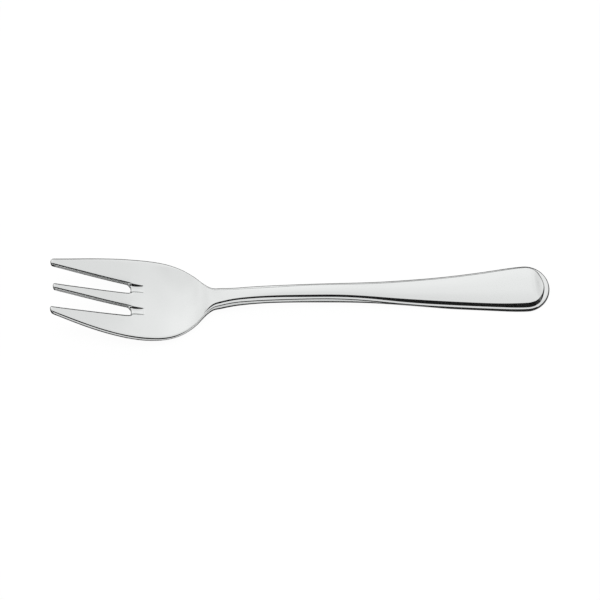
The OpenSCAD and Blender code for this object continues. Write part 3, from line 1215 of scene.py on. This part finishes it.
    @staticmethod
    def add_ramp(nodes: bpy.types.Nodes, levels: Levels) -> bpy.types.ShaderNode:
        """Adds a smooth ramp of grey levels.

        Args:
            nodes: Nodes of the surround.
            levels: Positions from 0 to 1, each with its level.

        Returns:
            The ramp.
        """
        ramp = add_node(nodes, "ShaderNodeValToRGB")
        ramp.color_ramp.interpolation = "EASE"
        stops = ramp.color_ramp.elements
        for position, _ in levels[1:-1]:
            stops.new(position)
        for stop, (_, level) in zip(stops, levels):
            stop.color = grey(level)
        return ramp

    def add_sky(self) -> None:
        """Adds the soft surround: dark round the horizon, white above it, darker overhead and to the sides."""
        world = bpy.data.worlds.new("surround")
        bpy.context.scene.world = world
        world.use_nodes = True
        nodes = world.node_tree.nodes
        nodes.clear()
        out = add_node(nodes, "ShaderNodeOutputWorld")
        glow = add_node(nodes, "ShaderNodeBackground", {"Color": grey(1.0)})
        direction = add_node(nodes, "ShaderNodeTexCoord")
        parts = add_node(nodes, "ShaderNodeSeparateXYZ")
        join(direction, "Generated", parts, "Vector")
        heights = self.add_ramp(nodes, self.SKY_LEVELS)
        join(parts, "Z", heights, "Fac")
        across = add_node(nodes, "ShaderNodeMapRange", {"From Min": -1.0})
        join(parts, "X", across, "Value")
        sides = self.add_ramp(nodes, self.SIDE_LEVELS)
        join(across, "Result", sides, "Fac")
        rays = add_node(nodes, "ShaderNodeLightPath")
        shown = add_node(nodes, "ShaderNodeMix", {"B": 1.0}, data_type="FLOAT")
        join(rays, "Is Camera Ray", shown, "Factor")
        both = add_node(nodes, "ShaderNodeMath", operation="MULTIPLY")
        join(heights, "Color", both, 0)
        join(sides, "Color", both, 1)
        join(both, "Value", shown, "A")
        join(shown, "Result", glow, "Strength")
        join(glow, "Background", out, "Surface")

    @staticmethod
    def darken(sheet: bpy.types.Object, tone: float) -> None:
        """Makes a sheet dark and lets it show in polished surfaces only.

        Args:
            sheet: The sheet.
            tone: Tone of the sheet.
        """
        sheet.visible_camera = False
        sheet.visible_diffuse = False
        sheet.visible_shadow = False
        dark = bpy.data.materials.new(sheet.name)
        dark.use_nodes = True
        shader = dark.node_tree.nodes["Principled BSDF"]
        shader.inputs["Base Color"].default_value = grey(tone)
        shader.inputs["Roughness"].default_value = 1.0
        shader.inputs["Specular IOR Level"].default_value = 0.0
        sheet.data.materials.append(dark)

    def add_cards(self) -> None:
        """Adds the dark cards that stand in front of the fork, behind it and to its left and right."""
        for card in self.CARDS:
            sheet = self.add_sheet(card.name, card.size)
            sheet.rotation_euler = (math.radians(90.0), 0.0, math.radians(card.turn))
            sheet.location = (*card.place, card.size[1] / 2)
            self.darken(sheet, self.card_tone)

    def painted_reflection_edges(self, painted: PaintedReflection, place: float) -> tuple[float, float]:
        """Gives where the edges of one of the painted shadows and painted dark table sheets lie.

        Args:
            painted: Which of the painted shadows and painted dark table sheets.
            place: Distance from the tips, in millimetres.

        Returns:
            The near and the far edge, in millimetres from the middle line.
        """
        half = self.form.half(min(place, self.form.handle.end_place))
        height = self.form.edge_line.at(place)
        reach = self.lip_shadow_line.at(place) * height
        inner, outer = self.form.slot_inner(place), self.form.slot_outer(place)
        # Painted shadows hug the fork's edges; the painted dark table lies beyond the bare strip before it and past
        # its tips
        return {
            PaintedReflection.FRONT: (-self.PAINTED_FRONT, -half - self.STRIP_REACH * height),
            PaintedReflection.LIP: (-half - reach, -half),
            PaintedReflection.NEAR_SLOT: (-inner - self.SLOT_REACH * height, -inner),
            PaintedReflection.FAR_SLOT: (outer - self.SLOT_REACH * height, outer),
            PaintedReflection.LEFT: (-half, half),
            PaintedReflection.UNDER: (-half, half),
            PaintedReflection.BACK: (half, half + self.BACK_WIDTH + self.BACK_REACH * height),
        }[painted]

    def add_painted_reflections(self) -> None:
        """Adds the painted shadows along, beneath, under and behind the fork and the painted dark table round it,
        which only the steel shows and which draw the thin dark lines along its edges.
        """
        length, tines = self.form.handle.length_over_all, self.form.tines
        for painted in PaintedReflection:
            first, last = -self.PAINTED_LEFT, length + self.PAINTED_RIGHT
            if painted in (PaintedReflection.NEAR_SLOT, PaintedReflection.FAR_SLOT):
                first, last = self.SLOT_START, tines.length
            if painted is PaintedReflection.LEFT:
                last = -self.LEFT_GAP
            if painted is PaintedReflection.UNDER:
                first = tines.length + self.UNDER_GAP
            sheet = self.add_sheet(painted.value, (1.0, 1.0), self.PAINTED_STRIPS)
            for vert in sheet.data.vertices:
                place = first + (vert.co.x + 0.5) * (last - first)
                across = self.painted_reflection_edges(painted, place)[vert.co.y > 0]
                vert.co = Vector((place - length / 2, across, self.PAINTED_LIFT)) * MM
            # The painted shadow under the fork is grey; the other painted shadows and the painted dark table are
            # near black
            self.darken(sheet, self.under_shadow_tone if painted is PaintedReflection.UNDER else self.painted_dark_tone)

    def add_lamp(self) -> bpy.types.Object:
        """Adds the soft lamp that gives the fork its faint shadow.

        Returns:
            The lamp.
        """
        data = bpy.data.lights.new("soft_lamp", "AREA")
        data.shape = "DISK"
        data.size = self.lamp_size
        data.energy = self.lamp_power
        lamp = bpy.data.objects.new("soft_lamp", data)
        bpy.context.scene.collection.objects.link(lamp)
        lamp.location = self.lamp_place
        lamp.rotation_euler = (-lamp.location).to_track_quat("-Z", "Y").to_euler()
        lamp.visible_glossy = False
        return lamp

    def build(self) -> None:
        """Sets up the stage, the light and the camera."""
        bpy.context.scene.view_settings.view_transform = "Standard"
        self.add_camera()
        self.add_floor()
        self.add_sky()
        self.add_cards()
        self.add_painted_reflections()
        self.add_lamp()


def main() -> None:
    """Builds the fork and its stage in order."""
    logging.basicConfig(level=logging.INFO, format="%(name)s: %(message)s")
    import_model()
    form = ForkForm.from_frame()
    Studio(form).build()
    fork = CakeFork(form).build()
    LOG.info("%s: %d faces in its cage", fork.name, len(fork.data.polygons))


if __name__ == "__main__":
    main()
